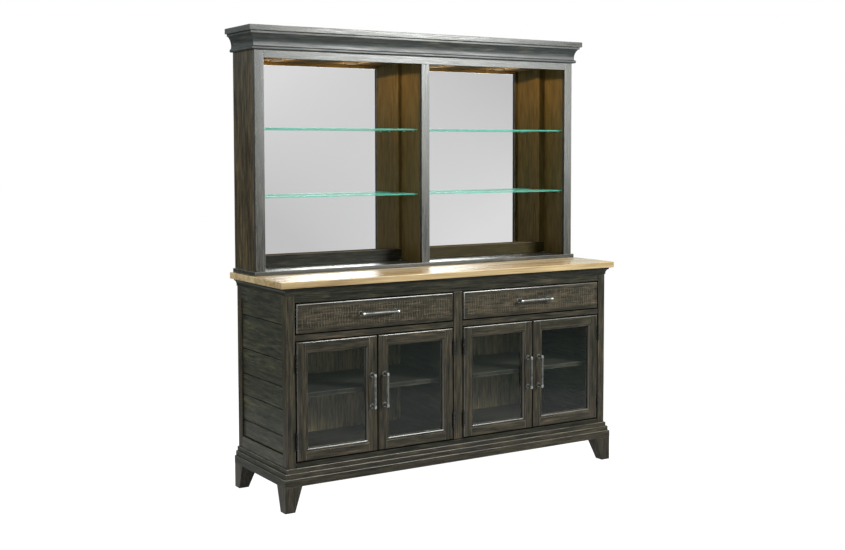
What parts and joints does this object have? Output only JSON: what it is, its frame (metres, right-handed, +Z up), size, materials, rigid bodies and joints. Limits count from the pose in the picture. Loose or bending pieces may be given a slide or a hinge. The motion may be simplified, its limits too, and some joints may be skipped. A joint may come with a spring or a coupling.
{
  "type": "buffet cabinet with hutch",
  "caption": "Dark wood buffet with drawers over glazed doors, and a shallow mirrored hutch with glass shelves and lights under a cove crown.",
  "frame": {"origin": "on the floor, midway between the two sides and midway between the back and the front of the pulls", "axes": "+X to the right seen from the front, -Y to the front, +Z up"},
  "size_m": [1.698, 0.51, 1.928],
  "materials": {
    "dark_wood": "charcoal brown stain, rubbed and distressed, satin",
    "inside_wood": "brown stained, satin",
    "hutch_wood": "brown stained, satin",
    "top_wood": "light tan stain, satin lacquer",
    "box_wood": "clear lacquered, pale",
    "back_panel": "stained panel, matt",
    "door_glass": "clear, polished",
    "shelf_glass": "clear with green polished edges",
    "mirror": "silvered glass",
    "pewter": "antique pewter, rubbed",
    "hinge_metal": "dark bronze, satin",
    "steel": "zinc plated",
    "catch_plastic": "brown, matt",
    "light_housing": "satin",
    "light_lens": "frosted"
  },
  "bodies": {
    "cabinet": {"countertop": "top_wood", "bed_moulding": "dark_wood", "corner_posts": "dark_wood", "side_rails": "dark_wood", "side_planks": "dark_wood", "face_rails": "dark_wood", "centre_stile": "dark_wood", "base_moulding": "dark_wood", "feet": "dark_wood", "centre_partition": "inside_wood", "case_bottom": "inside_wood", "drawer_deck": "inside_wood", "cupboard_shelves": "inside_wood", "case_back": "back_panel", "hutch_back": "back_panel", "runner_blocks": "box_wood", "shelf_pins": "steel", "runner_rails": "steel", "hutch_screws": "steel", "frame_hinges": "hinge_metal", "door_catches": "catch_plastic", "hutch_side_left": "dark_wood", "hutch_side_right": "dark_wood", "hutch_partition": "hutch_wood", "hutch_top": "hutch_wood", "hutch_base": "dark_wood", "hutch_stiles": "dark_wood", "hutch_top_rail": "dark_wood", "mirror_frames": "hutch_wood", "mirrors": "mirror", "crown_moulding": "dark_wood", "crown_cap": "dark_wood", "glass_shelves": "shelf_glass", "light_housings": "light_housing", "light_lenses": "light_lens"},
    "door_1": {"door_1_frame": "dark_wood", "door_1_glass": "door_glass", "door_1_pull": "pewter", "door_1_hinges": "hinge_metal"},
    "door_2": {"door_2_frame": "dark_wood", "door_2_glass": "door_glass", "door_2_pull": "pewter", "door_2_hinges": "hinge_metal"},
    "door_3": {"door_3_frame": "dark_wood", "door_3_glass": "door_glass", "door_3_pull": "pewter", "door_3_hinges": "hinge_metal"},
    "door_4": {"door_4_frame": "dark_wood", "door_4_glass": "door_glass", "door_4_pull": "pewter", "door_4_hinges": "hinge_metal"},
    "drawer_left": {"drawer_left_front": "dark_wood", "drawer_left_box": "box_wood", "drawer_left_pull": "pewter", "drawer_left_runners": "steel"},
    "drawer_right": {"drawer_right_front": "dark_wood", "drawer_right_box": "box_wood", "drawer_right_pull": "pewter", "drawer_right_runners": "steel"}
  },
  "joints": [
    {"name": "door_1_swing", "type": "hinge", "parent": "cabinet", "child": "door_1", "pos_m": [-0.7645, -0.2233, 0.4335], "axis": [0, 0, -1], "range_deg": [0, 105]},
    {"name": "door_2_swing", "type": "hinge", "parent": "cabinet", "child": "door_2", "pos_m": [-0.0255, -0.2233, 0.4335], "axis": [0, 0, 1], "range_deg": [0, 85]},
    {"name": "door_3_swing", "type": "hinge", "parent": "cabinet", "child": "door_3", "pos_m": [0.0255, -0.2233, 0.4335], "axis": [0, 0, -1], "range_deg": [0, 85]},
    {"name": "door_4_swing", "type": "hinge", "parent": "cabinet", "child": "door_4", "pos_m": [0.7645, -0.2233, 0.4335], "axis": [0, 0, 1], "range_deg": [0, 105]},
    {"name": "drawer_left_slide", "type": "slide", "parent": "cabinet", "child": "drawer_left", "axis": [0, -1, 0], "range_m": [0, 0.3]},
    {"name": "drawer_right_slide", "type": "slide", "parent": "cabinet", "child": "drawer_right", "axis": [0, -1, 0], "range_m": [0, 0.3]}
  ]
}
